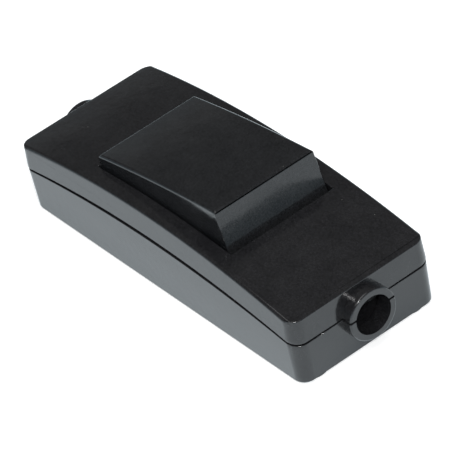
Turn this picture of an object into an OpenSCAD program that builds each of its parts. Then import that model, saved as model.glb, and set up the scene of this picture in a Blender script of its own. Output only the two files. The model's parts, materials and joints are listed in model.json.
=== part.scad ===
// Inline cord switch with a wide rocker, drawn with its raised end towards +X.
// The housing's foot is at height zero and the cord runs along X.

/* [Housing] */
// Length of the closed housing without its collars
housing_l = 84; // [83:0.5:92]
// Width of the housing at the parting line
housing_w = 32.5; // [32.5:0.5:36]
// Height of the parting line at the two ends
part_end_z = 9.3; // [9.3:0.1:10]
// Rise of the arched parting line at mid length
part_rise = 3.5; // [3:0.1:3.6]
// Height of the top face at the two ends
top_end_z = 14.9; // [14.9:0.1:16.5]
// Rise of the arched top at mid length
top_rise = 3.95; // [3.6:0.05:4.5]
// Wall thickness of both shells
wall = 2; // [1.8:0.1:2]
// Thickness of the base's floor
floor_t = 1.8; // [1.4:0.1:1.9]
// Radius of the housing's upright corners at the parting line
corner_r = 2.8; // [2.4:0.1:3.2]
// How far the base's foot is drawn in by its draft
base_inset = 0.3; // [0.2:0.05:0.4]
// How far the cover's top is drawn in by its draft
cover_inset = 0.25; // [0.15:0.05:0.35]
// How far the cover stands proud of the base at the parting line
cover_proud = 0.1; // [0:0.05:0.15]
// Bevel round the base's foot
foot_bevel = 0.6; // [0.3:0.1:0.9]
// Bevel along the cover's top edges, measured at the ends
cover_bevel = 0.5; // [0.4:0.05:0.6]
// Open shadow gap between the two shells
part_gap = 0.45; // [0.35:0.05:0.55]
// Height of the base's locating tongue above the parting line
lip_h = 1.2; // [0.9:0.1:1.4]
// Running-free space between the tongue and the cover's rebate
lip_gap = 0.12; // [0.08:0.02:0.16]

/* [Cord entry] */
// Radius of the cord bore
bore_r = 4.05; // [3.5:0.05:4.1]
// Length of the round land of the cord bore
bore_land = 3.6; // [3.3:0.1:3.9]
// How far the bore opens out behind its land
bore_relief = 0.55; // [0.3:0.05:0.7]
// Depth of the bore's axis below the parting line
bore_drop = 0.8; // [0.6:0.1:1]
// Outer radius of the collar
collar_r = 5.4; // [5.2:0.1:5.6]
// How far the collar stands out of the housing
collar_out = 2.4; // [2.2:0.1:2.8]
// Rounding of the collar's front edge
collar_edge_r = 0.4; // [0.3:0.05:0.6]

/* [Rocker] */
// Length of the rocker's top face
rocker_top_l = 37.7; // [36:0.1:38]
// Width of the rocker's top face
rocker_top_w = 23.4; // [22.6:0.1:23.6]
// Height of the ends of the top face above the pivot
rocker_top_h = 10.9; // [10.5:0.1:11.3]
// Crown of the top face at mid length
rocker_crown = 0.45; // [0.3:0.05:0.6]
// Bevel along the edges of the rocker's top face
rocker_bevel = 0.4; // [0.3:0.05:0.5]
// Draft of the rocker's end faces in degrees
rocker_end_draft = 4.1; // [3.5:0.1:4.5]
// Draft of the rocker's side faces in degrees
rocker_side_draft = 1.3; // [1:0.1:1.4]
// Tilt of the rocker to each side in degrees
rocker_tilt = 8.2; // [7.6:0.1:8.2]
// Depth of the pivot under the middle of the housing's top
pivot_depth = 6.55; // [6.4:0.05:6.7]
// Thickness of the rocker's top
rocker_top_t = 2; // [1.6:0.1:2.2]
// Thickness of the rocker's side and end walls
rocker_wall = 1.4; // [1.2:0.1:1.6]
// Clearance between the rocker's reach and the opening's ends
rocker_end_gap = 0.15; // [0.1:0.05:0.25]
// Clearance between the rocker's sides and the opening
rocker_side_gap = 0.26; // [0.2:0.02:0.3]
// Radius of the rocker's trunnions
trunnion_r = 2; // [1.8:0.1:2.1]
// Running clearance of each trunnion in its bearing
trunnion_gap = 0.05; // [0.03:0.01:0.06]

/* [Mechanism] */
// Distance of each pole from the middle of the housing
pole_y = 6.9; // [6.8:0.05:7]
// Radius of the spring-loaded plunger and of its round tip
plunger_r = 1.9; // [1.7:0.05:1.95]
// Running clearance of the plunger in its sleeve
plunger_gap = 0.05; // [0.03:0.01:0.06]
// Space between the plunger's tip and the level contact arm
plunger_air = 0.12; // [0.1:0.02:0.2]
// Radius of the spring wire
spring_wire_r = 0.25; // [0.2:0.01:0.3]
// Number of turns of each spring
spring_turns = 7; // [5:1:8]
// Tilt of the contact arm to each side in degrees
seesaw_tilt = 6; // [5:0.5:6]
// Length of the contact arm
seesaw_l = 22; // [21.5:0.25:22.5]
// Width of the contact arm
seesaw_w = 5; // [4.6:0.1:5]
// Thickness of the contact arm
seesaw_t = 0.8; // [0.7:0.05:0.9]
// Distance of the contacts from the arm's pivot
contact_arm = 9.5; // [9.25:0.05:9.5]
// Radius of the contact rivets
contact_r = 1.5; // [1.3:0.1:1.6]
// Height of the contact rivets' heads
contact_h = 0.7; // [0.6:0.05:0.8]
// Space left between the contacts, which meet at rest
contact_air = 0.08; // [0.06:0.01:0.1]
// Thickness of the brass strips
strip_t = 0.8; // [0.7:0.05:0.9]
// Width of the contact strip
strip_w = 4; // [3.6:0.1:4.4]
// Width of the pivot strip beside the arm's stops
tail_w = 2.6; // [2.2:0.1:2.8]

/* [Terminals] */
// Length and width of a terminal block
block_w = 6; // [5.8:0.1:6]
// Height of a terminal block
block_h = 5.4; // [5.2:0.1:5.6]
// Radius of the hole for the core
core_r = 1.5; // [1.2:0.1:1.6]
// Distance from the housing's end to the terminal block
block_back = 14.7; // [14.5:0.1:15]
// Length of the earth barrel
earth_l = 7; // [6.8:0.1:7]
// Width of the earth barrel
earth_w = 4.8; // [4.6:0.1:5]
// Height of the earth barrel
earth_h = 5.4; // [5:0.1:5.6]
// Distance between the two screws of the earth barrel
earth_pitch = 3.6; // [3.5:0.05:3.7]

/* [Cord clamps] */
// Distance from the housing's end to the middle of the clamp
clamp_back = 11; // [10.8:0.1:11.2]
// Width of the saddle along the cord
clamp_w = 5; // [4.4:0.1:5.2]
// Thickness of the saddle's flat ends
clamp_t = 1.8; // [1.6:0.1:2]
// Radius of the saddle's inner arch
saddle_r = 3.6; // [3.3:0.1:3.7]
// Thickness of the saddle's arch
saddle_t = 1.6; // [1.4:0.1:1.6]
// Distance of the clamp screws from the middle
clamp_y = 8.6; // [8.5:0.05:8.7]
// Height of the bosses that the saddle sits on
clamp_seat_z = 8; // [7.6:0.1:8]

/* [Screws] */
// Distance from the housing's end to the housing screws
screw_back = 4.5; // [4.3:0.1:4.6]
// Distance from the housing's side to the housing screws
screw_side = 4.75; // [4.7:0.05:4.8]
// Radius of the housing screws' shanks
screw_r = 1.25; // [1.1:0.05:1.3]
// Radius of the housing screws' heads
screw_head_r = 2.3; // [2.1:0.1:2.3]
// Height of the housing screws' heads
screw_head_h = 1.4; // [1.2:0.1:1.6]
// Depth of the recess for each housing screw
recess_h = 3; // [2.8:0.1:3.2]
// Radius of the terminal screws' shanks
small_screw_r = 1.2; // [1:0.05:1.2]
// Radius of the terminal screws' heads
small_head_r = 1.9; // [1.7:0.1:2]
// Height of the terminal screws' heads
small_head_h = 1.2; // [1:0.1:1.4]
// Clearance of every screw in its hole
screw_gap = 0.05; // [0.04:0.01:0.08]

/* [Hidden] */

$fn = 48;
arch_fn = 360;
// Overrun of every cut past the face that it opens
over = 1;

black = [0.11, 0.11, 0.12];
brass = [0.78, 0.62, 0.3];
silver = [0.82, 0.82, 0.8];
steel = [0.62, 0.63, 0.65];

// The radius of an arch over half a chord with a given rise
function arch_radius(half_chord, rise) = (half_chord * half_chord + rise * rise) / (2 * rise);

half_l = housing_l / 2;
half_w = housing_w / 2;
part_mid_z = part_end_z + part_rise;
top_mid_z = top_end_z + top_rise;
part_arch_r = arch_radius(half_l, part_rise);
top_arch_r = arch_radius(half_l, top_rise);
inner_corner_r = corner_r - wall / 2;
lip_setback = wall / 2;
bore_z = part_end_z - bore_drop;

// Rocker
pivot_z = top_mid_z - pivot_depth;
// Height of the skirt's lower edge above the pivot
skirt_z = 1.2;
crown_r = arch_radius(rocker_top_l / 2, rocker_crown);
rocker_mid_h = rocker_top_h + rocker_crown;
rocker_reach = rocker_top_l / 2 * cos(rocker_tilt) + rocker_top_h * sin(rocker_tilt);
rocker_low_half_w = rocker_top_w / 2 + (rocker_top_h - skirt_z) * tan(rocker_side_draft);
open_half_l = rocker_reach + rocker_end_gap;
open_half_w = rocker_low_half_w + rocker_side_gap;
frame_t = 1.2;
frame_drop = 1.5;
bearing_wall_gap = 0.15;
bearing_half_l = 4;
bearing_drop = 1.3;
trunnion_end_gap = 0.3;
trunnion_rest_gap = 0.1;
trunnion_rest_half_l = 2.6;
ear_r = 3.4;
sleeve_t = 1.1;
sleeve_drop = 2.2;
rocker_rib_t = 1.2;

// Contact arms and strips
plinth_h = 0.8;
strip_z = floor_t + plinth_h;
strip_top_z = strip_z + strip_t;
dome_r = 4;
arm_drop = contact_arm * sin(seesaw_tilt) + (seesaw_t / 2 + contact_h) * cos(seesaw_tilt)
    + dome_r * (1 - cos(seesaw_tilt));
fulcrum_z = strip_top_z + contact_h + arm_drop + contact_air;
lug_r = 0.6;
lug_root = 0.3;
lug_gap = 0.05;
ear_gap = 0.2;
bracket_t = 0.8;
bracket_half_l = 2;
bracket_top = 0.9;
bracket_half_w = seesaw_w / 2 + ear_gap + bracket_t;
stop_l = 1.5;
stop_side_gap = 0.25;
rivet_r = 0.65;
rivet_top_r = 1;
rivet_top_h = 0.3;
strip_end_land = 0.5;
contact_strip_start = contact_arm - contact_r - strip_end_land;

// Plungers and springs
plunger_l = pivot_z - fulcrum_z - seesaw_t / 2 - plunger_air;
plunger_shoulder = 1.5;
plunger_nose_r = 0.9;
plunger_nose_l = 2;
spring_seat_t = 0.3;
spring_side_gap = 0.2;
spring_top = rocker_top_h - rocker_top_t - spring_seat_t;
spring_r = plunger_r - spring_side_gap - spring_wire_r;
spring_steps = 14;
spring_sides = 7;

// Terminals
block_x = half_l - block_back - block_w / 2;
core_floor_t = 0.7;
core_z = strip_top_z + core_floor_t + core_r;
pocket_t = 1;
pocket_gap = 0.15;
pocket_h = 3.6;
pocket_top_z = strip_top_z + pocket_h;
earth_x = half_l - block_back - earth_l / 2;
channel_half_w = 1.25;
channel_t = 1;
channel_h = 4;
channel_top_z = strip_z + channel_h;
slot_w = 0.6;
slot_h = 0.7;

// Clamps and cradles
clamp_x = half_l - clamp_back;
clamp_boss_r = 2.2;
clamp_screw_depth = 4.5;
clamp_end_y = clamp_y + clamp_boss_r;
cradle_t = 1;
cradle_pitch = 1.4;
cradle_half_w = 5;
cradle_drop = 1.9;
cradle_top_z = bore_z - cradle_drop;
guide_back = 3.4;

// Housing screws
screw_x = half_l - screw_back;
screw_y = half_w - screw_side;
recess_gap = 0.3;
recess_t = 1.2;
recess_r = screw_head_r + recess_gap;
recess_boss_r = recess_r + recess_t;
recess_boss_h = recess_h + recess_t;
boss_r = screw_back - wall - lip_gap;
boss_joint_gap = 0.3;
boss_joint_z = part_end_z - boss_joint_gap;
thread_l = 3.6;
pilot_end = 0.5;
shank_top_z = boss_joint_z + thread_l;
pilot_top_z = shank_top_z + pilot_end;
cross_w = 0.7;
cross_l = 2.8;
cross_h = 0.9;

function end_half_l(h) = rocker_top_l / 2 + (rocker_top_h - h) * tan(rocker_end_draft);
function side_half_w(h) = rocker_top_w / 2 + (rocker_top_h - h) * tan(rocker_side_draft);

// A block with round upright corners whose walls lean: in0 and in1 draw it in at z0 and z1
module drafted_block(l, w, r, z0, z1, in0, in1) {
    translate([0, w / 2 - r, 0]) rotate([90, 0, 0])
        linear_extrude(w - 2 * r)
            polygon([[in0 - l / 2, z0], [l / 2 - in0, z0], [l / 2 - in1, z1], [in1 - l / 2, z1]]);
    translate([r - l / 2, 0, 0]) rotate([90, 0, 90])
        linear_extrude(l - 2 * r)
            polygon([[in0 - w / 2, z0], [w / 2 - in0, z0], [w / 2 - in1, z1], [in1 - w / 2, z1]]);
    for (sx = [-1, 1], sy = [-1, 1])
        translate([sx * (l / 2 - r), sy * (w / 2 - r), z0])
            cylinder(h = z1 - z0, r1 = r - in0, r2 = r - in1);
}

module straight_block(l, w, r, z0, z1) {
    drafted_block(l, w, r, z0, z1, 0, 0);
}

// Everything under an arch that spans the housing along X
module under_arch(mid_z, r) {
    translate([0, housing_w, mid_z - r]) rotate([90, 0, 0])
        cylinder(h = 2 * housing_w, r = r, $fn = arch_fn);
}

module under_parting(lift = 0) {
    under_arch(part_mid_z + lift, part_arch_r + lift);
}

module under_top(lift = 0) {
    under_arch(top_mid_z + lift, top_arch_r + lift);
}

// A disc across Y whose face falls away at 45 degrees past flat_half_w
module bevelled_disc(r, flat_half_w) {
    rim = corner_r;
    outer = flat_half_w + rim;
    rotate([90, 0, 0]) rotate_extrude($fn = arch_fn)
        polygon([[0, -outer], [r - rim, -outer], [r, -flat_half_w], [r, flat_half_w],
            [r - rim, outer], [0, outer]]);
}

module box(lo, hi) {
    translate(lo) cube(hi - lo);
}

// One round collar on the +X end, with its front edge rounded and no bore yet
module collar_blank() {
    root = wall / 4;
    len = collar_out + root;
    translate([half_l - root, 0, bore_z]) rotate([0, 90, 0]) rotate_extrude() {
        square([collar_r, len - collar_edge_r]);
        square([collar_r - collar_edge_r, len]);
        translate([collar_r - collar_edge_r, len - collar_edge_r])
            intersection() {
                circle(collar_edge_r);
                square(collar_edge_r);
            }
    }
}

module both_ends() {
    children();
    mirror([1, 0, 0]) children();
}

module four_corners(x, y) {
    for (sx = [-1, 1], sy = [-1, 1]) translate([sx * x, sy * y, 0]) children();
}

// The cord bore at the +X end: its round land, then the wider relief behind it
module cord_bore() {
    land_x = half_l + collar_out - bore_land;
    translate([land_x, 0, bore_z]) rotate([0, 90, 0]) cylinder(h = bore_land + over, r = bore_r);
    translate([half_l - wall - over, 0, bore_z]) rotate([0, 90, 0])
        cylinder(h = land_x - half_l + wall + over, r = bore_r + bore_relief);
}

module inner_prism(grow, z0, z1) {
    straight_block(housing_l - 2 * wall + 2 * grow, housing_w - 2 * wall + 2 * grow,
        inner_corner_r + grow, z0, z1);
}

module base_outer() {
    top_z = part_mid_z + over;
    slope = base_inset / part_end_z;
    intersection() {
        union() {
            drafted_block(housing_l, housing_w, corner_r, 0, foot_bevel,
                base_inset + foot_bevel, base_inset - slope * foot_bevel);
            drafted_block(housing_l, housing_w, corner_r, foot_bevel, top_z,
                base_inset - slope * foot_bevel, base_inset - slope * top_z);
        }
        under_parting();
    }
    intersection() {
        inner_prism(wall - lip_setback - lip_gap, floor_t, part_mid_z + lip_h + over);
        under_parting(lip_h);
    }
}

module base_collars() {
    both_ends() intersection() {
        collar_blank();
        box([half_l - wall, -housing_w, 0], [half_l + 2 * collar_out, housing_w, part_end_z]);
    }
}

module base_bosses() {
    four_corners(screw_x, screw_y) {
        cylinder(h = recess_boss_h, r = recess_boss_r);
        cylinder(h = boss_joint_z, r = boss_r);
    }
    four_corners(clamp_x, clamp_y)
        translate([0, 0, floor_t / 2]) cylinder(h = clamp_seat_z - floor_t / 2, r = clamp_boss_r);
}

// Ribs across the base that the cord lies in, hollowed to its round form
module cradles() {
    both_ends() {
        difference() {
            for (s = [-1, 1])
                box([clamp_x + s * cradle_pitch - cradle_t / 2, -cradle_half_w, floor_t / 2],
                    [clamp_x + s * cradle_pitch + cradle_t / 2, cradle_half_w, cradle_top_z]);
            translate([clamp_x - clamp_w, 0, bore_z]) rotate([0, 90, 0])
                cylinder(h = 2 * clamp_w, r = saddle_r);
        }
        difference() {
            box([half_l - guide_back - cradle_t, -cradle_half_w, floor_t / 2],
                [half_l - guide_back, cradle_half_w, cradle_top_z]);
            translate([half_l - guide_back - 2 * cradle_t, 0, bore_z]) rotate([0, 90, 0])
                cylinder(h = 3 * cradle_t, r = bore_r);
        }
    }
}

// Plinths under the brass strips, with pocket walls beside the terminal blocks
module plinths() {
    strip_end = block_x + block_w / 2;
    for (s = [-1, 1]) {
        box([-strip_end, s * pole_y - bracket_half_w, floor_t / 2],
            [strip_end, s * pole_y + bracket_half_w, strip_z]);
        for (sx = [-1, 1], sy = [-1, 1]) {
            wall_y = s * pole_y + sy * (block_w / 2 + pocket_gap + pocket_t / 2);
            box([sx * block_x - block_w / 2, wall_y - pocket_t / 2, floor_t / 2],
                [sx * block_x + block_w / 2, wall_y + pocket_t / 2, pocket_top_z]);
        }
    }
    box([-strip_end, -earth_w / 2, floor_t / 2], [earth_l - strip_end, earth_w / 2, strip_z]);
}

// Two ribs between the poles that guide the earth core past them
module earth_channel() {
    for (s = [-1, 1])
        box([earth_l - block_x - block_w / 2 + pocket_t, s * (channel_half_w + channel_t / 2) - channel_t / 2,
                floor_t / 2],
            [block_x - block_w / 2 - pocket_t, s * (channel_half_w + channel_t / 2) + channel_t / 2,
                channel_top_z]);
}

// Posts that stop the free end of each contact arm
module arm_stops() {
    stop_top = fulcrum_z - (contact_arm + stop_l / 2) * sin(seesaw_tilt)
        - seesaw_t / 2 * cos(seesaw_tilt) - contact_air;
    for (s = [-1, 1], sy = [-1, 1]) {
        inner = tail_w / 2 + stop_side_gap;
        width = seesaw_w / 2 - inner;
        mid = s * pole_y + sy * (inner + width / 2);
        box([-contact_arm - stop_l / 2, mid - width / 2, floor_t],
            [-contact_arm + stop_l / 2, mid + width / 2, stop_top]);
    }
}

// Posts under the cover's bearings that keep each trunnion from dropping out
module trunnion_rests() {
    rest_top = pivot_z - bearing_drop - trunnion_rest_gap;
    inner_y = open_half_w + trunnion_rest_gap;
    for (s = [-1, 1]) difference() {
        box([-trunnion_rest_half_l, s > 0 ? inner_y : wall / 4 - half_w + wall / 2, floor_t / 2],
            [trunnion_rest_half_l, s > 0 ? half_w - wall / 2 - wall / 4 : -inner_y, rest_top]);
        translate([0, housing_w, pivot_z]) rotate([90, 0, 0])
            cylinder(h = 2 * housing_w, r = trunnion_r + trunnion_rest_gap);
    }
}

module base_shell() {
    color(black) difference() {
        union() {
            difference() {
                base_outer();
                inner_prism(0, floor_t, top_mid_z);
            }
            base_collars();
            base_bosses();
            cradles();
            plinths();
            earth_channel();
            arm_stops();
            trunnion_rests();
        }
        both_ends() cord_bore();
        four_corners(screw_x, screw_y) {
            translate([0, 0, -over]) cylinder(h = recess_h + over, r = recess_r);
            cylinder(h = boss_joint_z + over, r = screw_r + screw_gap);
        }
        four_corners(clamp_x, clamp_y)
            translate([0, 0, clamp_seat_z - clamp_screw_depth])
                cylinder(h = clamp_screw_depth + over, r = small_screw_r + screw_gap);
    }
}

// What the bevel takes off round the cover's +X end, laid square to the top at the corners' centres
module end_bevel_cut() {
    corner_x = half_l + cover_proud - corner_r;
    corner_y = half_w + cover_proud - corner_r;
    flat_r = corner_r - cover_inset - cover_bevel;
    lean = asin(corner_x / top_arch_r);
    translate([corner_x, 0, top_mid_z - top_arch_r * (1 - cos(lean))]) rotate([0, lean, 0])
        difference() {
            box([0, -housing_w, -corner_r], [2 * corner_r, housing_w, over]);
            rotate([90, 0, 0]) linear_extrude(2 * corner_y, center = true)
                polygon([[-over, over], [flat_r - over, over],
                    [flat_r + corner_r, -corner_r], [-over, -corner_r]]);
            for (s = [-1, 1]) translate([0, s * corner_y, -corner_r])
                cylinder(h = corner_r + over, r1 = flat_r + corner_r, r2 = flat_r - over);
        }
}

module cover_outer() {
    low_z = part_end_z - over;
    slope = cover_inset / (top_end_z - part_end_z);
    high_z = top_mid_z + over;
    difference() {
        intersection() {
            drafted_block(housing_l + 2 * cover_proud, housing_w + 2 * cover_proud, corner_r,
                low_z, high_z, -slope * over, slope * (high_z - part_end_z));
            translate([0, 0, top_mid_z - top_arch_r])
                bevelled_disc(top_arch_r, half_w + cover_proud - cover_inset - cover_bevel);
        }
        both_ends() end_bevel_cut();
        under_parting(part_gap);
    }
}

module cover_collars() {
    both_ends() intersection() {
        collar_blank();
        box([half_l - wall, -housing_w, part_end_z + part_gap],
            [half_l + 2 * collar_out, housing_w, top_mid_z]);
    }
}

// The rim that hangs round the rocker opening, and the bearings beside it
module opening_frame() {
    frame_low = top_mid_z - wall - frame_drop - top_rise / 4;
    wall_low = part_mid_z + lip_h + 2 * lip_gap + part_gap;
    intersection() {
        union() {
            box([-open_half_l - frame_t, -open_half_w - frame_t, frame_low],
                [open_half_l + frame_t, open_half_w + frame_t, top_mid_z]);
            for (s = [-1, 1]) {
                near = open_half_w;
                far = half_w - wall - bearing_wall_gap;
                root = half_w - wall / 2;
                box([-bearing_half_l, s > 0 ? near : -far, pivot_z - bearing_drop],
                    [bearing_half_l, s > 0 ? far : -near, top_mid_z]);
                box([-bearing_half_l, s > 0 ? near : -root, wall_low],
                    [bearing_half_l, s > 0 ? root : -near, top_mid_z]);
            }
        }
        under_top(-wall / 2);
    }
}

module cover_bosses() {
    intersection() {
        four_corners(screw_x, screw_y)
            translate([0, 0, boss_joint_z + boss_joint_gap])
                cylinder(h = top_mid_z - boss_joint_z, r = boss_r);
        under_top(-wall / 2);
    }
}

module top_cover() {
    color(black) difference() {
        union() {
            difference() {
                cover_outer();
                intersection() {
                    inner_prism(0, 0, top_mid_z);
                    under_top(-wall);
                }
                intersection() {
                    inner_prism(wall - lip_setback, 0, top_mid_z);
                    under_parting(lip_h + lip_gap);
                }
            }
            cover_collars();
            opening_frame();
            cover_bosses();
        }
        box([-open_half_l, -open_half_w, 0], [open_half_l, open_half_w, top_mid_z + over]);
        both_ends() cord_bore();
        translate([0, 0, pivot_z]) rotate([90, 0, 0])
            cylinder(h = housing_w - 2 * wall, r = trunnion_r + trunnion_gap, center = true);
        four_corners(screw_x, screw_y)
            cylinder(h = pilot_top_z, r = screw_r + screw_gap);
    }
}

// The rocker's outer form, or its hollow when thinned, in the rocker's own frame at the pivot
module rocker_form(thin, low, cap) {
    high = rocker_mid_h + over;
    span = 2 * rocker_top_l;
    intersection() {
        rotate([90, 0, 0]) linear_extrude(span, center = true) intersection() {
            polygon([[thin - end_half_l(low), low], [end_half_l(low) - thin, low],
                [end_half_l(high) - thin, high], [thin - end_half_l(high), high]]);
            translate([0, rocker_mid_h - crown_r]) circle(crown_r - cap, $fn = arch_fn);
        }
        rotate([90, 0, 90]) linear_extrude(span, center = true)
            polygon([[thin - side_half_w(low), low], [side_half_w(low) - thin, low],
                [side_half_w(high) - thin, high], [thin - side_half_w(high), high]]);
    }
}

// The rocker's outer form with its top edges bevelled
module rocker_outer() {
    end_reach = rocker_top_l / 2 + rocker_top_h - rocker_bevel;
    intersection() {
        rocker_form(0, skirt_z, 0);
        translate([0, 0, rocker_mid_h - crown_r]) bevelled_disc(crown_r, rocker_top_w / 2 - rocker_bevel);
        rotate([90, 0, 0]) linear_extrude(2 * rocker_top_l, center = true)
            polygon([[-end_reach, 0], [end_reach, 0], [0, end_reach]]);
    }
}

// Turns its children from the rocker's frame to the rocker's rest tilt
module rocker_place() {
    translate([0, 0, pivot_z]) rotate([0, -rocker_tilt, 0]) children();
}

module rocker() {
    sleeve_r = plunger_r + plunger_gap + sleeve_t;
    ceiling = rocker_top_h - rocker_top_t;
    trunnion_end = half_w - wall - trunnion_end_gap;
    color(black) rocker_place() difference() {
        union() {
            difference() {
                union() {
                    rocker_outer();
                    for (s = [-1, 1]) translate([0, s * (side_half_w(0) - rocker_wall / 2), 0])
                        rotate([90, 0, 0]) cylinder(h = rocker_wall, r = ear_r, center = true);
                }
                rocker_form(rocker_wall, skirt_z - over, rocker_top_t);
            }
            for (s = [-1, 1]) {
                translate([0, s * pole_y, -sleeve_drop])
                    cylinder(h = sleeve_drop + ceiling + rocker_top_t / 2, r = sleeve_r);
                translate([0, s * (trunnion_end + side_half_w(0) - rocker_wall) / 2, 0])
                    rotate([90, 0, 0])
                        cylinder(h = trunnion_end - side_half_w(0) + rocker_wall, r = trunnion_r, center = true);
            }
            box([-rocker_rib_t / 2, rocker_wall / 2 - side_half_w(rocker_top_h), skirt_z],
                [rocker_rib_t / 2, side_half_w(rocker_top_h) - rocker_wall / 2, ceiling + rocker_top_t / 2]);
        }
        for (s = [-1, 1]) translate([0, s * pole_y, -sleeve_drop - over])
            cylinder(h = sleeve_drop + over + spring_top, r = plunger_r + plunger_gap);
    }
}

// A spring-loaded pin with a round tip and a nose that centres the spring
module plunger(side) {
    color(brass) rocker_place() translate([0, side * pole_y, 0]) {
        translate([0, 0, plunger_r - plunger_l]) {
            sphere(plunger_r);
            cylinder(h = plunger_l - plunger_r + plunger_shoulder, r = plunger_r);
        }
        translate([0, 0, plunger_shoulder]) cylinder(h = plunger_nose_l, r = plunger_nose_r);
    }
}

// A round wire wound up between the plunger's shoulder and the sleeve's end
module spring(side) {
    low = plunger_shoulder + spring_wire_r;
    high = spring_top - spring_wire_r;
    count = spring_turns * spring_steps;
    points = [
        for (i = [0:count], j = [0:spring_sides - 1])
            let (turn = 360 * i / spring_steps,
                around = 360 * j / spring_sides,
                reach = spring_r + spring_wire_r * cos(around))
            [reach * cos(turn), reach * sin(turn),
                low + (high - low) * i / count + spring_wire_r * sin(around)]
    ];
    faces = concat(
        [[for (j = [0:spring_sides - 1]) j]],
        [for (i = [0:count - 1], j = [0:spring_sides - 1])
            let (next = (j + 1) % spring_sides, a = i * spring_sides, b = a + spring_sides)
            [a + j, b + j, b + next, a + next]],
        [[for (j = [spring_sides - 1:-1:0]) count * spring_sides + j]]
    );
    color(steel) rocker_place() translate([0, side * pole_y, 0]) polyhedron(points, faces);
}

module seesaw_place(side) {
    translate([0, side * pole_y, fulcrum_z]) rotate([0, seesaw_tilt, 0]) children();
}

// A flat arm with two round lugs that rest in the bracket's notches
module seesaw(side) {
    lug_end = bracket_half_w + ear_gap;
    color(brass) seesaw_place(side) difference() {
        union() {
            cube([seesaw_l, seesaw_w, seesaw_t], center = true);
            for (turn = [90, -90]) rotate([turn, 0, 0])
                translate([0, 0, seesaw_w / 2 - lug_root])
                    cylinder(h = lug_end - seesaw_w / 2 + lug_root, r = lug_r);
        }
        translate([contact_arm, 0, -seesaw_t]) cylinder(h = 2 * seesaw_t, r = rivet_r + screw_gap);
    }
}

// A domed rivet head of the contact's radius, its face towards -Z
module contact_dome() {
    intersection() {
        translate([0, 0, -contact_h]) cylinder(h = contact_h, r = contact_r);
        translate([0, 0, dome_r - contact_h]) sphere(dome_r);
    }
}

module moving_contact(side) {
    color(silver) seesaw_place(side) translate([contact_arm, 0, 0]) {
        translate([0, 0, -seesaw_t / 2]) contact_dome();
        translate([0, 0, -seesaw_t / 2 - contact_h / 2])
            cylinder(h = seesaw_t + contact_h / 2 + rivet_top_h / 2, r = rivet_r);
        translate([0, 0, seesaw_t / 2]) cylinder(h = rivet_top_h, r = rivet_top_r);
    }
}

// A strip from the terminal to the middle, with two notched ears for the contact arm
module pivot_strip(side) {
    notch_r = lug_r + lug_gap;
    ear_in = bracket_half_w - bracket_t;
    color(brass) translate([0, side * pole_y, 0]) difference() {
        union() {
            box([-block_x - block_w / 2, -tail_w / 2, strip_z], [bracket_half_l, tail_w / 2, strip_top_z]);
            box([-bracket_half_l, -bracket_half_w, strip_z], [bracket_half_l, bracket_half_w, strip_top_z]);
            for (s = [-1, 1])
                box([-bracket_half_l, s > 0 ? ear_in : -bracket_half_w, strip_z],
                    [bracket_half_l, s > 0 ? bracket_half_w : -ear_in, fulcrum_z + bracket_top]);
        }
        translate([0, 0, fulcrum_z]) rotate([90, 0, 0])
            cylinder(h = 4 * bracket_half_w, r = notch_r, center = true);
        box([-notch_r, -2 * bracket_half_w, fulcrum_z],
            [notch_r, 2 * bracket_half_w, fulcrum_z + bracket_top + over]);
    }
}

module contact_strip(side) {
    color(brass) translate([0, side * pole_y, 0]) difference() {
        box([contact_strip_start, -strip_w / 2, strip_z],
            [block_x + block_w / 2, strip_w / 2, strip_top_z]);
        translate([contact_arm, 0, strip_z - over])
            cylinder(h = strip_t + 2 * over, r = rivet_r + screw_gap);
    }
}

module fixed_contact(side) {
    color(silver) translate([contact_arm, side * pole_y, strip_z]) {
        cylinder(h = strip_t + contact_h / 2, r = rivet_r);
        translate([0, 0, strip_t]) cylinder(h = contact_h, r = contact_r);
    }
}

// A brass block with a hole for the core along X and a screw hole from above
module terminal(end, side) {
    color(brass) translate([end * block_x, side * pole_y, strip_top_z]) difference() {
        translate([-block_w / 2, -block_w / 2, 0]) cube([block_w, block_w, block_h]);
        translate([-block_w, 0, core_z - strip_top_z]) rotate([0, 90, 0])
            cylinder(h = 2 * block_w, r = core_r);
        translate([0, 0, core_z - strip_top_z])
            cylinder(h = block_h, r = small_screw_r + screw_gap);
    }
}

module earth_terminal() {
    color(brass) translate([-earth_x, 0, strip_z]) difference() {
        translate([-earth_l / 2, -earth_w / 2, 0]) cube([earth_l, earth_w, earth_h]);
        translate([-earth_l, 0, earth_h / 2 - core_r / 4]) rotate([0, 90, 0])
            cylinder(h = 2 * earth_l, r = core_r);
        for (s = [-1, 1]) translate([s * earth_pitch / 2, 0, earth_h / 2])
            cylinder(h = earth_h, r = small_screw_r + screw_gap);
    }
}

// A slotted cheese-head screw, its head's underside at height zero
module slotted_screw(head_r, shank_l) {
    difference() {
        union() {
            cylinder(h = small_head_h, r = head_r);
            translate([0, 0, -shank_l]) cylinder(h = shank_l + small_head_h / 2, r = small_screw_r);
        }
        translate([-2 * head_r, -slot_w / 2, small_head_h - slot_h]) cube([4 * head_r, slot_w, 2 * slot_h]);
    }
}

module terminal_screws() {
    color(steel) four_corners(block_x, pole_y)
        translate([0, 0, strip_top_z + block_h])
            slotted_screw(small_head_r, strip_top_z + block_h - core_z);
}

module earth_screws() {
    color(steel) for (s = [-1, 1]) translate([s * earth_pitch / 2 - earth_x, 0, strip_z + earth_h])
        slotted_screw(earth_pitch / 2 - screw_gap, earth_h / 2);
}

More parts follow.
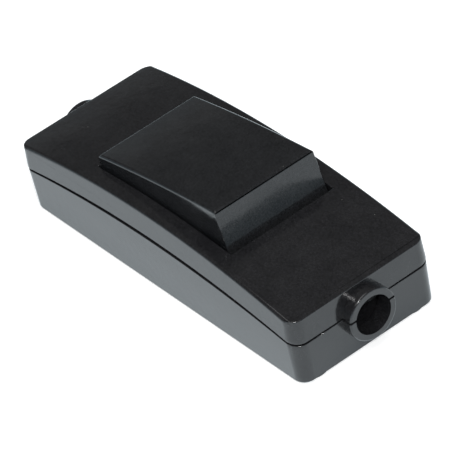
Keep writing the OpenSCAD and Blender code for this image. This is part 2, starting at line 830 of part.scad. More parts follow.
// A saddle bar: two flat ends on the bosses and an arch over the cord
module cord_clamp(end) {
    color(black) translate([end * clamp_x - clamp_w / 2, 0, clamp_seat_z]) difference() {
        rotate([90, 0, 90]) linear_extrude(clamp_w) difference() {
            union() {
                translate([-clamp_end_y, 0]) square([2 * clamp_end_y, clamp_t]);
                intersection() {
                    circle(saddle_r + saddle_t);
                    translate([-clamp_end_y, 0]) square([2 * clamp_end_y, clamp_end_y]);
                }
            }
            circle(saddle_r);
        }
        for (s = [-1, 1]) translate([clamp_w / 2, s * clamp_y, -over])
            cylinder(h = clamp_t + 2 * over, r = small_screw_r + screw_gap);
    }
}

module clamp_screws() {
    color(steel) four_corners(clamp_x, clamp_y)
        translate([0, 0, clamp_seat_z + clamp_t])
            slotted_screw(small_head_r, clamp_t + clamp_screw_depth - screw_gap);
}

// Pan-head screws from below, with a cross recess in each head
module housing_screws() {
    color(steel) four_corners(screw_x, screw_y) difference() {
        union() {
            translate([0, 0, recess_h - screw_head_h]) cylinder(h = screw_head_h, r = screw_head_r);
            translate([0, 0, recess_h - screw_head_h / 2])
                cylinder(h = shank_top_z - recess_h + screw_head_h / 2, r = screw_r);
        }
        for (turn = [0, 90]) rotate([0, 0, turn])
            translate([-cross_l / 2, -cross_w / 2, recess_h - screw_head_h - over])
                cube([cross_l, cross_w, cross_h + over]);
    }
}

top_cover();
base_shell();
rocker();
plunger(-1);  // live_plunger
plunger(1);  // neutral_plunger
spring(-1);  // live_spring
spring(1);  // neutral_spring
seesaw(-1);  // live_seesaw
seesaw(1);  // neutral_seesaw
moving_contact(-1);  // live_moving_contact
moving_contact(1);  // neutral_moving_contact
pivot_strip(-1);  // live_pivot_strip
pivot_strip(1);  // neutral_pivot_strip
contact_strip(-1);  // live_contact_strip
contact_strip(1);  // neutral_contact_strip
fixed_contact(-1);  // live_fixed_contact
fixed_contact(1);  // neutral_fixed_contact
terminal(-1, -1);  // live_in_terminal
terminal(1, -1);  // live_out_terminal
terminal(-1, 1);  // neutral_in_terminal
terminal(1, 1);  // neutral_out_terminal
earth_terminal();
terminal_screws();
earth_screws();
cord_clamp(1);  // near_cord_clamp
cord_clamp(-1);  // far_cord_clamp
clamp_screws();
housing_screws();
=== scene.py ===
"""Looks of an inline cord switch, built round its packed CAD part.

Lengths are metres. The sizes of the switch and of its finishes are given in millimetres, as on a
maker's drawing, and MM turns them to metres.
"""

import json
import math
from types import SimpleNamespace

import bmesh
import bpy
from mathutils import Matrix, Vector

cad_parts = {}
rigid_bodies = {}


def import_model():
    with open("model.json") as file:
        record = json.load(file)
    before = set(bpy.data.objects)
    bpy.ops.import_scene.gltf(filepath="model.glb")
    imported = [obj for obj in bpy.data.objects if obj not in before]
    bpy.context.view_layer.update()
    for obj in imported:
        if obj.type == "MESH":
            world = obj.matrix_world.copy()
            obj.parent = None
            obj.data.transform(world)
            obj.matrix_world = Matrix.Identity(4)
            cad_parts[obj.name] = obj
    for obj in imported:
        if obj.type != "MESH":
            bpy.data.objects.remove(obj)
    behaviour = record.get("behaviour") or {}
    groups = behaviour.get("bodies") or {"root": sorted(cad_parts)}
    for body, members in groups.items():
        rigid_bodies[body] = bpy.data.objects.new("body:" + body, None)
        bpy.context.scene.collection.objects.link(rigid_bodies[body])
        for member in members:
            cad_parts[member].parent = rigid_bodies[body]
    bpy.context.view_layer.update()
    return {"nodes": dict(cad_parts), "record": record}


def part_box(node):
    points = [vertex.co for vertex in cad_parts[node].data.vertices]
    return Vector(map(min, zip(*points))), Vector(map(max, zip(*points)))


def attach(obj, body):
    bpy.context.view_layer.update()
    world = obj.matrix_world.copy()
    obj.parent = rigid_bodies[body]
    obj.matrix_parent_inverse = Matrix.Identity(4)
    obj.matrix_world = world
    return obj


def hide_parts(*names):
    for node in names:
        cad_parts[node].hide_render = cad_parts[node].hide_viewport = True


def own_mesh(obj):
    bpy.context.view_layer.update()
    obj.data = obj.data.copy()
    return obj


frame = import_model()

bl_info = {
    "name": "Inline cord switch",
    "version": (1, 0, 0),
    "blender": (4, 5, 0),
    "location": "3D View > Sidebar > Cord switch",
    "description": "Builds the housing, rocker, screws and finishes of an inline cord switch",
    "category": "Object",
}

MM = 0.001
LONGEST_SETTING = 200 * MM
# Corners of loose faces that lie closer than this are one corner
WELD_REACH = 0.002 * MM
# Some sockets share a name and are found by number: a Mix node's two colours and the colour that it
# gives, and the two whole numbers that a Compare node takes
COLOUR_A, COLOUR_B, MIXED_COLOUR = 6, 7, 2
WHOLE_A, WHOLE_B = 2, 3


def linear(hex_colour):
    """An sRGB hex colour as linear RGBA."""
    parts = [int(hex_colour[i:i + 2], 16) / 255 for i in (1, 3, 5)]
    return [c / 12.92 if c <= 0.04045 else ((c + 0.055) / 1.055) ** 2.4 for c in parts] + [1.0]


def length(name, default_mm, text):
    """A length setting in metres with its default in millimetres."""
    return bpy.props.FloatProperty(name=name, description=text, default=default_mm * MM, min=0.0,
                                   max=LONGEST_SETTING, unit="LENGTH", precision=5)


def colour(name, hex_colour, text):
    """A colour setting from an sRGB hex value."""
    return bpy.props.FloatVectorProperty(name=name, description=text, subtype="COLOR", size=3,
                                         min=0.0, max=1.0, default=linear(hex_colour)[:3])


class CordSwitchEdges(bpy.types.PropertyGroup):
    """Roundings that the tools leave on the edges"""
    cover: length("Cover", 0.2, "How far the rounding of a cover edge reaches along each face")
    base: length("Base", 0.1, "How far the rounding of a base edge reaches along each face")
    rocker: length("Rocker", 0.18, "How far the rounding of a rocker edge reaches along each face")
    clamp: length("Clamps", 0.15, "How far the rounding of a clamp edge reaches along each face")
    brass: length("Brass", 0.06, "Edge break of the stamped and sawn brass")
    cover_from: length("Cover from", 14.38, "Height above which each cover edge is rounded")
    rocker_from: length("Rocker from", 16.2, "Height above which each rocker edge is rounded")
    outer_side: length("Outer side", 16.0, "Distance from the middle at which the sides begin")
    outer_end: length("Outer end", 41.7, "Distance from the middle at which the ends begin")
    collar_side: length("Collar side", 5.7, "Half the width at each end that the collar takes")
    corner_reach: length("Corner reach", 54.9, "Sum of both distances at which the corners begin")


class CordSwitchScrews(bpy.types.PropertyGroup):
    """Sizes of the screws, which keep the places and reach of the packed ones"""
    pan_head: length("Pan head radius", 2.3, "Radius of the housing screws' heads")
    pan_height: length("Pan head height", 1.4, "Height of the housing screws' heads")
    pan_round: length("Pan head rounding", 0.75, "Radius of the rounding round a pan head")
    pan_shank: length("Pan shank radius", 1.25, "Crest radius of the housing screws' threads")
    cross_width: length("Cross width", 0.7, "Width of the cross recess")
    cross_length: length("Cross length", 2.8, "Length of the cross recess")
    cross_depth: length("Cross depth", 0.9, "Depth of the cross recess")
    small_head: length("Small head radius", 1.9, "Radius of the terminal and clamp screws' heads")
    earth_head: length("Earth head radius", 1.75, "Radius of the earth screws' heads")
    small_height: length("Small head height", 1.2, "Height of the cheese heads")
    small_round: length("Small head rounding", 0.3, "Radius of the rounding round a cheese head")
    small_shank: length("Small shank radius", 1.2, "Crest radius of the small screws' threads")
    slot_width: length("Slot width", 0.6, "Width of the cheese heads' slots")
    slot_depth: length("Slot depth", 0.7, "Depth of the cheese heads' slots")
    coarse_pitch: length("Coarse pitch", 1.1, "Thread pitch of the housing screws")
    fine_pitch: length("Fine pitch", 0.6, "Thread pitch of the small screws")
    thread: length("Thread depth", 0.22, "Depth of the threads")


class CordSwitchColours(bpy.types.PropertyGroup):
    """Colours of the finishes"""
    housing: colour("Housing", "#1E1E20", "Moulded black of the two shells")
    rocker: colour("Rocker", "#1E1F21", "Moulded black of the rocker")
    clamp: colour("Clamps", "#1C1C1E", "Moulded black of the cord clamps")
    brass: colour("Brass", "#E0BE78", "Stamped and turned brass")
    silver: colour("Silver", "#E4E2DC", "Contact rivets")
    steel: colour("Steel", "#C4C6C9", "Zinc-plated screws and spring wire")
    paper: colour("Floor", "#FFFFFF", "White sweep that the switch lies on")
    skylight: colour("Skylight", "#DAF3FF", "Cool tone of the room's light in reflections")
    dust: colour("Dust", "#6E6E6A", "Specks on the plastic")


GROUPS = {
    "cord_switch_edges": CordSwitchEdges,
    "cord_switch_screws": CordSwitchScrews,
    "cord_switch_colours": CordSwitchColours,
}


def shade(name):
    """A colour setting as linear RGBA."""
    return [*getattr(bpy.context.scene.cord_switch_colours, name), 1.0]


def add_node(tree, kind, links=(), **settings):
    """Adds a node with its settings. links pairs an input with a value or with another socket."""
    node = tree.nodes.new(kind)
    for key, value in settings.items():
        setattr(node, key, value)
    for key, value in dict(links).items():
        if isinstance(value, bpy.types.NodeSocket):
            tree.links.new(value, node.inputs[key])
        else:
            node.inputs[key].default_value = value
    return node


def new_material(name):
    """An empty node material and its tree."""
    material = bpy.data.materials.new(name)
    material.use_nodes = True
    material.node_tree.nodes.clear()
    return material, material.node_tree


PLASTICS = {
    # A lightly polished mould: reflections stay readable and brighten at a slant
    "polycarbonate housing": {
        "base": "housing", "ior": 1.57, "roughness": 0.13,
        "peel_mm": 1.6, "peel_depth_mm": 0.018, "grain_depth_mm": 0.006,
    },
    # The rocker's mould is polished further, so the reflections on it have sharper edges
    "polycarbonate rocker": {
        "base": "rocker", "ior": 1.52, "roughness": 0.11,
        "peel_mm": 2.2, "peel_depth_mm": 0.012, "grain_depth_mm": 0.0004,
    },
    # Nylon saddles come from a plain mould and look dull
    "nylon clamp": {
        "base": "clamp", "ior": 1.53, "roughness": 0.4,
        "peel_mm": 1.2, "peel_depth_mm": 0.01, "grain_depth_mm": 0.003,
    },
}
METALS = {
    # Rolled strip and turned bar show their draw lines, which stretch a highlight along the part
    "stamped brass": {
        "base": "brass", "roughness": 0.28, "line_mm": 0.12, "stretch": 12.0, "depth_mm": 0.002,
    },
    # Pressed silver is soft, so it looks bright and a little clouded, alike in all directions
    "silver contact": {
        "base": "silver", "roughness": 0.2, "line_mm": 0.15, "stretch": 1.0, "depth_mm": 0.001,
    },
    # Drawn wire has a tight skin and carries a narrow highlight along each turn
    "spring wire": {
        "base": "steel", "roughness": 0.22, "line_mm": 0.08, "stretch": 1.0, "depth_mm": 0.0006,
    },
    # Zinc plating is finely crystalline and spreads the highlight
    "zinc-plated steel": {
        "base": "steel", "roughness": 0.3, "line_mm": 0.2, "stretch": 1.0, "depth_mm": 0.0012,
    },
}
FINISH_OF_SLOT = {
    "housing_plastic": "polycarbonate housing",
    "rocker_plastic": "polycarbonate rocker",
    "clamp_plastic": "nylon clamp",
    "brass": "stamped brass",
    "silver": "silver contact",
    "spring_steel": "spring wire",
    "screw_steel": "zinc-plated steel",
}
# A noise seldom leaves this span, so what it drives is spread over it
NOISE_SPAN = {"From Min": 0.3, "From Max": 0.7}
# Mould grain and dust are drawn coarser than real ones, so that they show at all
GRAIN_MM = 0.45
SPECK_CELL_MM = 2.4
COOLING_PATCH_MM = 9.0
FILM_PATCH_MM = 5.0
TARNISH_PATCH_MM = 2.5
# What the thickest film adds to the colour, in linear light
FILM_GREY = 0.007
# The share of speck cells that stay clean, and the largest speck's radius against its cell
CLEAN_CELLS = 0.75
SPECK_RADIUS = 0.045


def moulded_plastic(name, base, ior, roughness, peel_mm, peel_depth_mm, grain_depth_mm):
    """Moulded thermoplastic. Its skin waves a little, like orange peel, over a finer grain, so a
    reflection in it is mottled. The gloss changes slowly where the melt cooled at different speeds,
    and a few pale specks of dust lie on it."""
    material, tree = new_material(name)
    place = add_node(tree, "ShaderNodeTexCoord").outputs["Object"]
    peel = add_node(tree, "ShaderNodeTexNoise", {
        "Vector": place, "Scale": 1 / (peel_mm * MM), "Detail": 2.0, "Roughness": 0.55})
    grain = add_node(tree, "ShaderNodeTexNoise", {
        "Vector": place, "Scale": 1 / (GRAIN_MM * MM), "Detail": 3.0, "Roughness": 0.6})
    cooling = add_node(tree, "ShaderNodeTexNoise", {
        "Vector": place, "Scale": 1 / (COOLING_PATCH_MM * MM), "Detail": 3.0, "Roughness": 0.5})
    gloss = add_node(tree, "ShaderNodeMapRange", {
        "Value": cooling.outputs["Fac"], **NOISE_SPAN,
        "To Min": roughness * 0.8, "To Max": roughness * 1.25})
    tint = add_node(tree, "ShaderNodeMapRange", {
        "Value": grain.outputs["Fac"], **NOISE_SPAN, "To Min": 0.5, "To Max": 1.5})
    body = add_node(tree, "ShaderNodeVectorMath", {
        0: shade(base)[:3], "Scale": tint.outputs["Result"]}, operation="SCALE")
    # Handling leaves a thin film in patches, which greys the black a little and mottles the sides
    patches = add_node(tree, "ShaderNodeTexNoise", {
        "Vector": place, "Scale": 1 / (FILM_PATCH_MM * MM), "Detail": 5.0, "Roughness": 0.65})
    film = add_node(tree, "ShaderNodeMapRange", {
        "Value": patches.outputs["Fac"], "From Min": 0.35, "From Max": 0.7,
        "To Min": 0.0, "To Max": FILM_GREY})
    filmed = add_node(tree, "ShaderNodeVectorMath", {
        0: body.outputs["Vector"], 1: film.outputs["Result"]}, operation="ADD")
    # Each cell draws a number of its own, and only the highest ones get a speck
    cells = add_node(tree, "ShaderNodeTexVoronoi", {
        "Vector": place, "Scale": 1 / (SPECK_CELL_MM * MM)})
    chance = add_node(tree, "ShaderNodeSeparateXYZ", {"Vector": cells.outputs["Color"]})
    radius = add_node(tree, "ShaderNodeMapRange", {
        "Value": chance.outputs["X"], "From Min": CLEAN_CELLS, "From Max": 1.0,
        "To Min": 0.0, "To Max": SPECK_RADIUS})
    speck = add_node(tree, "ShaderNodeMath", {
        0: cells.outputs["Distance"], 1: radius.outputs["Result"]}, operation="LESS_THAN")
    dusty = add_node(tree, "ShaderNodeMix", {
        "Factor": speck.outputs["Value"], COLOUR_A: filmed.outputs["Vector"],
        COLOUR_B: shade("dust")}, data_type="RGBA")
    waves = add_node(tree, "ShaderNodeBump", {
        "Strength": 1.0, "Distance": peel_depth_mm * MM, "Height": peel.outputs["Fac"]})
    bump = add_node(tree, "ShaderNodeBump", {
        "Strength": 1.0, "Distance": grain_depth_mm * MM, "Height": grain.outputs["Fac"],
        "Normal": waves.outputs["Normal"]})
    shader = add_node(tree, "ShaderNodeBsdfPrincipled", {
        "Base Color": dusty.outputs[MIXED_COLOUR], "Roughness": gloss.outputs["Result"],
        "IOR": ior, "Normal": bump.outputs["Normal"]})
    add_node(tree, "ShaderNodeOutputMaterial", {"Surface": shader.outputs["BSDF"]})
    return material


def worked_metal(name, base, roughness, line_mm, stretch, depth_mm):
    """Metal with the fine lines that rolling, stamping or turning leave along X, slightly tarnished
    in patches."""
    material, tree = new_material(name)
    place = add_node(tree, "ShaderNodeTexCoord").outputs["Object"]
    laid = add_node(tree, "ShaderNodeMapping", {
        "Vector": place, "Scale": (1 / stretch, 1.0, 1.0)})
    lines = add_node(tree, "ShaderNodeTexNoise", {
        "Vector": laid.outputs["Vector"], "Scale": 1 / (line_mm * MM), "Detail": 4.0})
    tarnish = add_node(tree, "ShaderNodeTexNoise", {
        "Vector": place, "Scale": 1 / (TARNISH_PATCH_MM * MM), "Detail": 3.0})
    gloss = add_node(tree, "ShaderNodeMapRange", {
        "Value": lines.outputs["Fac"], "To Min": roughness * 0.7, "To Max": roughness * 1.4})
    tone = add_node(tree, "ShaderNodeMapRange", {
        "Value": tarnish.outputs["Fac"], **NOISE_SPAN, "To Min": 0.86, "To Max": 1.0})
    body = add_node(tree, "ShaderNodeVectorMath", {
        0: shade(base)[:3], "Scale": tone.outputs["Result"]}, operation="SCALE")
    bump = add_node(tree, "ShaderNodeBump", {
        "Strength": 1.0, "Distance": depth_mm * MM, "Height": lines.outputs["Fac"]})
    shader = add_node(tree, "ShaderNodeBsdfPrincipled", {
        "Base Color": body.outputs["Vector"], "Metallic": 1.0,
        "Roughness": gloss.outputs["Result"], "Normal": bump.outputs["Normal"]})
    add_node(tree, "ShaderNodeOutputMaterial", {"Surface": shader.outputs["BSDF"]})
    return material


def finish_named(name):
    """The finish of that name, made once."""
    if name in bpy.data.materials:
        return bpy.data.materials[name]
    if name in PLASTICS:
        return moulded_plastic(name, **PLASTICS[name])
    return worked_metal(name, **METALS[name])


def new_tree(name, inputs):
    """A geometry tree with one geometry output, and the sockets that its named inputs give."""
    tree = bpy.data.node_groups.new(name, "GeometryNodeTree")
    tree.interface.new_socket("Geometry", in_out="OUTPUT", socket_type="NodeSocketGeometry")
    for label, kind in inputs.items():
        tree.interface.new_socket(label, in_out="INPUT", socket_type=kind)
    return tree, add_node(tree, "NodeGroupInput").outputs


def end_tree(tree, geometry, finish):
    """Ends a geometry tree in plain geometry that carries its finish."""
    whole = add_node(tree, "GeometryNodeRealizeInstances", {"Geometry": geometry})
    dressed = add_node(tree, "GeometryNodeSetMaterial", {
        "Geometry": whole.outputs["Geometry"], "Material": finish})
    add_node(tree, "NodeGroupOutput", {"Geometry": dressed.outputs["Geometry"]})


def give_inputs(modifier, values):
    """Sets a geometry modifier's inputs. values goes by their names, the modifier by identifier."""
    for item in modifier.node_group.interface.items_tree:
        if item.in_out == "INPUT" and item.name in values:
            modifier[item.identifier] = values[item.name]


class CordSwitchCamera(bpy.types.Operator):
    """Puts the camera at the photograph's angle"""
    bl_idname = "cord_switch.camera"
    bl_label = "Camera"

    def execute(self, context):
        image_side_px = 452
        focal_px = 4475.08
        place = (0.57128482, -0.33532581, 0.52197951)
        right = (0.61275257, 0.76999792, -0.17786929)
        down = (0.40207315, -0.49751984, -0.76864243)
        forward = (-0.68034658, 0.39947116, -0.61445205)
        data = bpy.data.cameras.new("photo camera")
        data.sensor_width = 36.0
        data.lens = focal_px / image_side_px * data.sensor_width
        data.clip_start, data.clip_end = 0.05, 20.0
        camera = bpy.data.objects.new("photo camera", data)
        turn = Matrix([right, [-c for c in down], [-c for c in forward]]).transposed()
        camera.matrix_world = Matrix.Translation(place) @ turn.to_4x4()
        context.scene.collection.objects.link(camera)
        context.scene.camera = camera
        return {"FINISHED"}


ZONE_INPUTS = {
    "Geometry": "NodeSocketGeometry",
    "Least Angle": "NodeSocketFloat",
    "From Height": "NodeSocketFloat",
    "Side Distance": "NodeSocketFloat",
    "End Distance": "NodeSocketFloat",
    "Collar Side": "NodeSocketFloat",
    "Corner Reach": "NodeSocketFloat",
    "Finish": "NodeSocketMaterial",
}
# Which setting gives each limit of the outer zone
OUTER_LIMITS = {
    "Side Distance": "outer_side",
    "End Distance": "outer_end",
    "Collar Side": "collar_side",
    "Corner Reach": "corner_reach",
}
# Limits that every edge of the switch is past, and that none is
EVERYWHERE = -1.0
NOWHERE = 1.0
# Packed faces that fold less than the first are one flat. Edges that fold more than the second are
# sharp
FLAT_FOLD = math.radians(0.3)
SHARP_FOLD = math.radians(24)
ROUNDING_SEGMENTS = 3


def marking_tree():
    """Marks the sharp edges that get rounded: those above a height, and those on the outer sides,
    corners and ends that are clear of the collars. The other sharp edges are shaded as sharp."""
    tree, given = new_tree("edges to round", ZONE_INPUTS)
    fold = add_node(tree, "GeometryNodeInputMeshEdgeAngle").outputs["Unsigned Angle"]
    place = add_node(tree, "GeometryNodeInputPosition").outputs["Position"]
    away = add_node(tree, "ShaderNodeVectorMath", {0: place}, operation="ABSOLUTE")
    reach = add_node(tree, "ShaderNodeSeparateXYZ", {"Vector": away.outputs["Vector"]}).outputs
    spread = add_node(tree, "ShaderNodeMath", {0: reach["X"], 1: reach["Y"]}, operation="ADD")
    sharp, high, side, end, beside, corner = (
        add_node(tree, "ShaderNodeMath", {0: value, 1: given[limit]},
                 operation="GREATER_THAN").outputs["Value"]
        for value, limit in (
            (fold, "Least Angle"),
            (reach["Z"], "From Height"),
            (reach["Y"], "Side Distance"),
            (reach["X"], "End Distance"),
            (reach["Y"], "Collar Side"),
            (spread.outputs["Value"], "Corner Reach"),
        )
    )
    clear_end = add_node(tree, "ShaderNodeMath", {0: end, 1: beside}, operation="MULTIPLY")
    zone = high
    for part in (side, corner, clear_end.outputs["Value"]):
        zone = add_node(tree, "ShaderNodeMath", {0: zone, 1: part},
                        operation="MAXIMUM").outputs["Value"]
    weight = add_node(tree, "ShaderNodeMath", {0: sharp, 1: zone}, operation="MULTIPLY")
    unrounded = add_node(tree, "ShaderNodeMath", {0: sharp, 1: weight.outputs["Value"]},
                         operation="SUBTRACT")
    marked = add_node(tree, "GeometryNodeStoreNamedAttribute", {
        "Geometry": given["Geometry"], "Name": "bevel_weight_edge",
        "Value": weight.outputs["Value"]}, data_type="FLOAT", domain="EDGE")
    smooth = add_node(tree, "GeometryNodeSetShadeSmooth", {
        "Geometry": marked.outputs["Geometry"], "Shade Smooth": True}, domain="FACE")
    split = add_node(tree, "GeometryNodeSetShadeSmooth", {
        "Geometry": smooth.outputs["Geometry"], "Selection": unrounded.outputs["Value"],
        "Shade Smooth": False}, domain="EDGE")
    end_tree(tree, split.outputs["Geometry"], given["Finish"])
    return tree


def soften(node, tree, reach, zone):
    """Rounds a packed node's marked edges. Its loose faces are merged and its flats joined first,
    so that each rounding runs even."""
    merged = node.modifiers.new("merged faces", "WELD")
    merged.merge_threshold = WELD_REACH
    flat = node.modifiers.new("joined flats", "DECIMATE")
    flat.decimate_type = "DISSOLVE"
    flat.angle_limit = FLAT_FOLD
    marks = node.modifiers.new("marked edges", "NODES")
    marks.node_group = tree
    give_inputs(marks, {"Least Angle": SHARP_FOLD, "Finish": node.data.materials[0], **zone})
    soft = node.modifiers.new("rounded edges", "BEVEL")
    soft.limit_method = "WEIGHT"
    soft.width = reach
    soft.segments = ROUNDING_SEGMENTS
    # The clamp would shrink every rounding to what the shortest edge of a round hole allows
    soft.use_clamp_overlap = False
    even = node.modifiers.new("flat-weighted normals", "WEIGHTED_NORMAL")
    even.keep_sharp = True


def edges_of(node, slot):
    """How far a packed node's edges are rounded and where, or None where they stay as packed."""
    edges = bpy.context.scene.cord_switch_edges
    outside = {limit: getattr(edges, name) for limit, name in OUTER_LIMITS.items()}
    inside = dict.fromkeys(OUTER_LIMITS, NOWHERE)
    if node == "top_cover":
        return edges.cover, {**outside, "From Height": edges.cover_from}
    if node == "base_shell":
        return edges.base, {**outside, "From Height": NOWHERE}
    if node == "rocker":
        return edges.rocker, {**inside, "From Height": edges.rocker_from}
    if slot == "clamp_plastic":
        return edges.clamp, {**inside, "From Height": EVERYWHERE}
    if slot == "brass":
        return edges.brass, {**inside, "From Height": EVERYWHERE}
    return None


class CordSwitchMouldings(bpy.types.Operator):
    """Gives the packed pieces their finishes and rounds the moulded and the brass ones' edges"""
    bl_idname = "cord_switch.mouldings"
    bl_label = "Mouldings and brass"

    def execute(self, context):
        tree = marking_tree()
        for part in frame["record"]["subparts"]:
            node, slot = frame["nodes"][part["node"]], part["material_slot"]
            node.data.materials.clear()
            node.data.materials.append(finish_named(FINISH_OF_SLOT[slot]))
            edges = edges_of(part["node"], slot)
            if edges:
                soften(node, tree, *edges)
        return {"FINISHED"}


# Folds gentler than this are shaded smooth on the pieces made here
SMOOTH_FOLD = math.radians(40)


def add_piece(name, mesh):
    """An object for a finished mesh, with its faces turned outwards and gentle folds smooth."""
    work = bmesh.new()
    work.from_mesh(mesh)
    bmesh.ops.remove_doubles(work, verts=work.verts, dist=WELD_REACH)
    bmesh.ops.recalc_face_normals(work, faces=work.faces)
    for edge in work.edges:
        edge.smooth = len(edge.link_faces) == 2 and edge.calc_face_angle() < SMOOTH_FOLD
    for face in work.faces:
        face.smooth = True
    work.to_mesh(mesh)
    work.free()
    piece = bpy.data.objects.new(name, mesh)
    bpy.context.scene.collection.objects.link(piece)
    return piece


class CordSwitchSprings(bpy.types.Operator):
    """Makes the two plunger springs and hangs each on the body that holds its plunger's slide"""
    bl_idname = "cord_switch.springs"
    bl_label = "Plunger springs"

    def execute(self, context):
        joints = {joint["name"]: joint for joint in frame["record"]["behaviour"]["joints"]}
        for side in ("live", "neutral"):
            slide = joints[side + "_plunger_slide"]
            mesh = frame["nodes"][side + "_spring"].data.copy()
            piece = add_piece(side + "_spring_coil", mesh)
            # The wire is round, so its coarse sides are shaded as one
            mesh.edges.foreach_set("use_edge_sharp", [False] * len(mesh.edges))
            mesh.materials.clear()
            mesh.materials.append(finish_named("spring wire"))
            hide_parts(side + "_spring")
            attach(piece, slide["parent"])
            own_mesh(piece)
        return {"FINISHED"}


SCREW_INPUTS = {
    "Head Radius": "NodeSocketFloat",
    "Head Height": "NodeSocketFloat",
    "Head Rounding": "NodeSocketFloat",
    "Slot Size": "NodeSocketVector",
    "Cross Size": "NodeSocketVector",
    "Crossed": "NodeSocketBool",
    "Core Radius": "NodeSocketFloat",
    "Core Top": "NodeSocketFloat",
    "Core Foot": "NodeSocketFloat",
    "Thread Depth": "NodeSocketFloat",
    "Thread Start": "NodeSocketVector",
    "Thread Height": "NodeSocketFloat",
    "Thread Turns": "NodeSocketFloat",
    "Columns": "NodeSocketInt",
    "First Column": "NodeSocketVector",
    "Column Step": "NodeSocketVector",
    "Rows": "NodeSocketInt",
    "First Row": "NodeSocketVector",
    "Row Step": "NodeSocketVector",
    "Finish": "NodeSocketMaterial",
}
CIRCLE_STEPS = 48
ROUNDING_STEPS = 6
THREAD_STEPS = 28
# The thread's ridge is wound from a triangle
RIDGE_SIDES = 3
# A profile turns about a circle this small in place of a bare axis, and what is left of the circle
# at each pole is merged within this reach
AXIS_RADIUS = 0.001 * MM
POLE_REACH = 0.01 * MM


def turned_solid(tree, radius, top, bottom, rounding):
    """A solid of revolution between two heights, its upper edge rounded."""
    corners = {}
    outline = ((0.0, top), (radius, top), (radius, bottom), (0.0, bottom))
    for number, (out, up) in enumerate(outline, 1):
        corner = add_node(tree, "ShaderNodeCombineXYZ", {"X": out, "Y": up})
        corners[f"Point {number}"] = corner.outputs["Vector"]
    closed = add_node(tree, "GeometryNodeCurvePrimitiveQuadrilateral", corners, mode="POINTS")
    half = add_node(tree, "GeometryNodeSetSplineCyclic", {
        "Geometry": closed.outputs["Curve"], "Cyclic": False})
    spot = add_node(tree, "GeometryNodeInputIndex").outputs["Index"]
    at_edge = add_node(tree, "FunctionNodeCompare", {WHOLE_A: spot, WHOLE_B: 1}, data_type="INT",
                       operation="EQUAL")
    bend = add_node(tree, "GeometryNodeSwitch", {
        "Switch": at_edge.outputs["Result"], "False": 0.0, "True": rounding}, input_type="FLOAT")
    profile = add_node(tree, "GeometryNodeFilletCurve", {
        "Curve": half.outputs["Geometry"], "Radius": bend.outputs["Output"],
        "Count": ROUNDING_STEPS}, mode="POLY")
    circle = add_node(tree, "GeometryNodeCurvePrimitiveCircle", {
        "Resolution": CIRCLE_STEPS, "Radius": AXIS_RADIUS})
    level = add_node(tree, "GeometryNodeSetCurveNormal", {"Curve": circle.outputs["Curve"]},
                     mode="Z_UP")
    swept = add_node(tree, "GeometryNodeCurveToMesh", {
        "Curve": level.outputs["Curve"], "Profile Curve": profile.outputs["Curve"]})
    joined = add_node(tree, "GeometryNodeMergeByDistance", {
        "Geometry": swept.outputs["Mesh"], "Distance": POLE_REACH})
    # A profile swept along a level circle hangs upside down, so it is turned over
    upright = add_node(tree, "GeometryNodeTransform", {
        "Geometry": joined.outputs["Geometry"], "Rotation": (math.pi, 0.0, 0.0)})
    return upright.outputs["Geometry"]


def row_of(tree, things, count, first, step):
    """Instances of things in one row."""
    line = add_node(tree, "GeometryNodeMeshLine", {
        "Count": count, "Start Location": first, "Offset": step})
    placed = add_node(tree, "GeometryNodeInstanceOnPoints", {
        "Points": line.outputs["Mesh"], "Instance": things})
    return placed.outputs["Instances"]


def screw_tree():
    """Turns one screw, cuts its slot or cross, winds its thread and sets it out in rows.
    The head's underside is at height zero, the head above it and the shank below."""
    tree, given = new_tree("rows of screws", SCREW_INPUTS)
    head = turned_solid(tree, given["Head Radius"], given["Head Height"], 0.0,
                        given["Head Rounding"])
    on_top = add_node(tree, "ShaderNodeCombineXYZ", {"Z": given["Head Height"]})
    cut = [head]
    for size in ("Slot Size", "Cross Size"):
        bar = add_node(tree, "GeometryNodeMeshCube", {"Size": given[size]})
        raised = add_node(tree, "GeometryNodeTransform", {
            "Geometry": bar.outputs["Mesh"], "Translation": on_top.outputs["Vector"]})
        grooved = add_node(tree, "GeometryNodeMeshBoolean", {
            "Mesh 1": cut[-1], "Mesh 2": raised.outputs["Geometry"]},
            operation="DIFFERENCE", solver="EXACT")
        cut.append(grooved.outputs["Mesh"])
    recessed = add_node(tree, "GeometryNodeSwitch", {
        "Switch": given["Crossed"], "False": cut[1], "True": cut[2]}, input_type="GEOMETRY")
    core = turned_solid(tree, given["Core Radius"], given["Core Top"], given["Core Foot"], 0.0)
    helix = add_node(tree, "GeometryNodeCurveSpiral", {
        "Resolution": THREAD_STEPS, "Rotations": given["Thread Turns"],
        "Start Radius": given["Core Radius"], "End Radius": given["Core Radius"],
        "Height": given["Thread Height"]})
    level = add_node(tree, "GeometryNodeSetCurveNormal", {"Curve": helix.outputs["Curve"]},
                     mode="Z_UP")
    ridge = add_node(tree, "GeometryNodeCurvePrimitiveCircle", {
        "Resolution": RIDGE_SIDES, "Radius": given["Thread Depth"]})
    thread = add_node(tree, "GeometryNodeCurveToMesh", {
        "Curve": level.outputs["Curve"], "Profile Curve": ridge.outputs["Curve"],
        "Fill Caps": True})
    hung = add_node(tree, "GeometryNodeTransform", {
        "Geometry": thread.outputs["Mesh"], "Translation": given["Thread Start"]})
    screw = add_node(tree, "GeometryNodeJoinGeometry")
    for part in (recessed.outputs["Output"], core, hung.outputs["Geometry"]):
        tree.links.new(part, screw.inputs["Geometry"])
    row = row_of(tree, screw.outputs["Geometry"], given["Columns"], given["First Column"],
                 given["Column Step"])
    field = row_of(tree, row, given["Rows"], given["First Row"], given["Row Step"])
    end_tree(tree, field, given["Finish"])
    return tree


